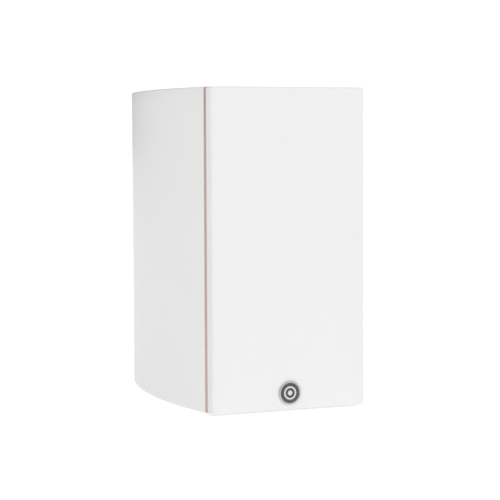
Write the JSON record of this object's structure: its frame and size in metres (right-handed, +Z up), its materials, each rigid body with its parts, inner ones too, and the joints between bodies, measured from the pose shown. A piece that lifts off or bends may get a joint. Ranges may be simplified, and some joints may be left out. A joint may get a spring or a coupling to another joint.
{
  "type": "bookshelf speaker",
  "caption": "Compact two-way bookshelf loudspeaker with bowed sides, a full-height cloth grille on pegs, a rear bass port and screw-down cable terminals.",
  "frame": {"origin": "middle of the footprint, on the surface that the feet stand on", "axes": "+Z up, the grille faces -Y, +X to the right of someone looking at the grille"},
  "size_m": [0.1692, 0.2538, 0.292],
  "materials": {
    "cabinet_lacquer": "satin white lacquer over fibreboard",
    "accent_ring": "copper-brown anodised",
    "foot_rubber": "matte",
    "rear_plastic": "fine texture",
    "damping_fibre": "loose polyester fibre",
    "grille_plastic": "moulded",
    "grille_cloth": "fine stretched weave",
    "badge_rim": "turned and polished",
    "badge_face": "dark enamel",
    "socket_rubber": "matte",
    "basket_alloy": "black coated casting",
    "surround_rubber": "satin",
    "cone_paper": "coated pulp",
    "spider_cotton": "resin-dipped weave",
    "winding_copper": "enamelled copper wire",
    "motor_steel": "zinc plated",
    "magnet_ferrite": "ground",
    "screw_steel": "black oxide",
    "faceplate_plastic": "fine texture",
    "dome_silk": "coated weave",
    "post_metal": "gold plated",
    "knob_red": "moulded",
    "knob_black": "moulded",
    "circuit_board": "glass-epoxy laminate",
    "capacitor_film": "film wrap",
    "resistor_ceramic": "unglazed",
    "cable_jacket": "soft sheath"
  },
  "bodies": {
    "cabinet": {"accent_ring": "accent_ring", "black_post_stud": "post_metal", "bottom_panel": "cabinet_lacquer", "crossover_board": "circuit_board", "foot_front_left": "foot_rubber", "foot_front_right": "foot_rubber", "foot_rear_left": "foot_rubber", "foot_rear_right": "foot_rubber", "front_baffle": "cabinet_lacquer", "grille_socket_lower_left": "socket_rubber", "grille_socket_lower_right": "socket_rubber", "grille_socket_upper_left": "socket_rubber", "grille_socket_upper_right": "socket_rubber", "port_tube": "rear_plastic", "rear_panel": "cabinet_lacquer", "red_post_stud": "post_metal", "side_panel_left": "cabinet_lacquer", "side_panel_right": "cabinet_lacquer", "terminal_cup": "rear_plastic", "top_panel": "cabinet_lacquer", "tweeter_capacitor": "capacitor_film", "tweeter_faceplate": "faceplate_plastic", "tweeter_inductor": "winding_copper", "tweeter_lead": "cable_jacket", "tweeter_magnet": "magnet_ferrite", "tweeter_rear_chamber": "faceplate_plastic", "tweeter_resistor": "resistor_ceramic", "tweeter_screw_1": "screw_steel", "tweeter_screw_2": "screw_steel", "tweeter_screw_3": "screw_steel", "tweeter_surround": "dome_silk", "tweeter_top_plate": "motor_steel", "tweeter_yoke": "motor_steel", "wadding": "damping_fibre", "woofer_basket": "basket_alloy", "woofer_gasket": "surround_rubber", "woofer_inductor": "winding_copper", "woofer_lead": "cable_jacket", "woofer_magnet": "magnet_ferrite", "woofer_screw_1": "screw_steel", "woofer_screw_2": "screw_steel", "woofer_screw_3": "screw_steel", "woofer_screw_4": "screw_steel", "woofer_spider": "spider_cotton", "woofer_surround": "surround_rubber", "woofer_top_plate": "motor_steel", "woofer_yoke": "motor_steel"},
    "grille": {"grille_frame": "grille_plastic", "grille_cloth": "grille_cloth", "badge_rim": "badge_rim", "badge_plate": "badge_face"},
    "woofer_cone_body": {"woofer_cone": "cone_paper", "woofer_dust_cap": "cone_paper", "woofer_voice_coil": "winding_copper"},
    "tweeter_dome_body": {"tweeter_dome": "dome_silk", "tweeter_voice_coil": "winding_copper"},
    "red_washer": {"red_post_washer": "post_metal"},
    "red_knob": {"red_post_knob": "knob_red"},
    "black_washer": {"black_post_washer": "post_metal"},
    "black_knob": {"black_post_knob": "knob_black"}
  },
  "joints": [
    {"name": "grille_pull", "type": "slide", "parent": "cabinet", "child": "grille", "axis": [0, -1, 0], "range_m": [0, 0.06]},
    {"name": "woofer_cone_travel", "type": "slide", "parent": "cabinet", "child": "woofer_cone_body", "axis": [0, -1, 0], "range_m": [-0.004, 0.004], "stiffness_N_per_m": 1000, "deforming": ["woofer_surround", "woofer_spider"]},
    {"name": "tweeter_dome_travel", "type": "slide", "parent": "cabinet", "child": "tweeter_dome_body", "axis": [0, -1, 0], "range_m": [-0.0004, 0.0004], "stiffness_N_per_m": 1000, "deforming": ["tweeter_surround"]},
    {"name": "red_washer_slide", "type": "slide", "parent": "cabinet", "child": "red_washer", "axis": [0, 1, 0], "range_m": [0, 0.004]},
    {"name": "red_knob_turn", "type": "hinge", "parent": "red_washer", "child": "red_knob", "pos_m": [-0.00952, 0.11285, 0.077], "axis": [0, 1, 0], "range_deg": [0, 1440]},
    {"name": "black_washer_slide", "type": "slide", "parent": "cabinet", "child": "black_washer", "axis": [0, 1, 0], "range_m": [0, 0.004]},
    {"name": "black_knob_turn", "type": "hinge", "parent": "black_washer", "child": "black_knob", "pos_m": [0.00952, 0.11285, 0.077], "axis": [0, 1, 0], "range_deg": [0, 1440]}
  ],
  "couplings": [
    {"joint": "red_knob_turn", "follows": "red_washer_slide", "rad_per_m": 6283.1},
    {"joint": "black_knob_turn", "follows": "black_washer_slide", "rad_per_m": 6283.1}
  ]
}
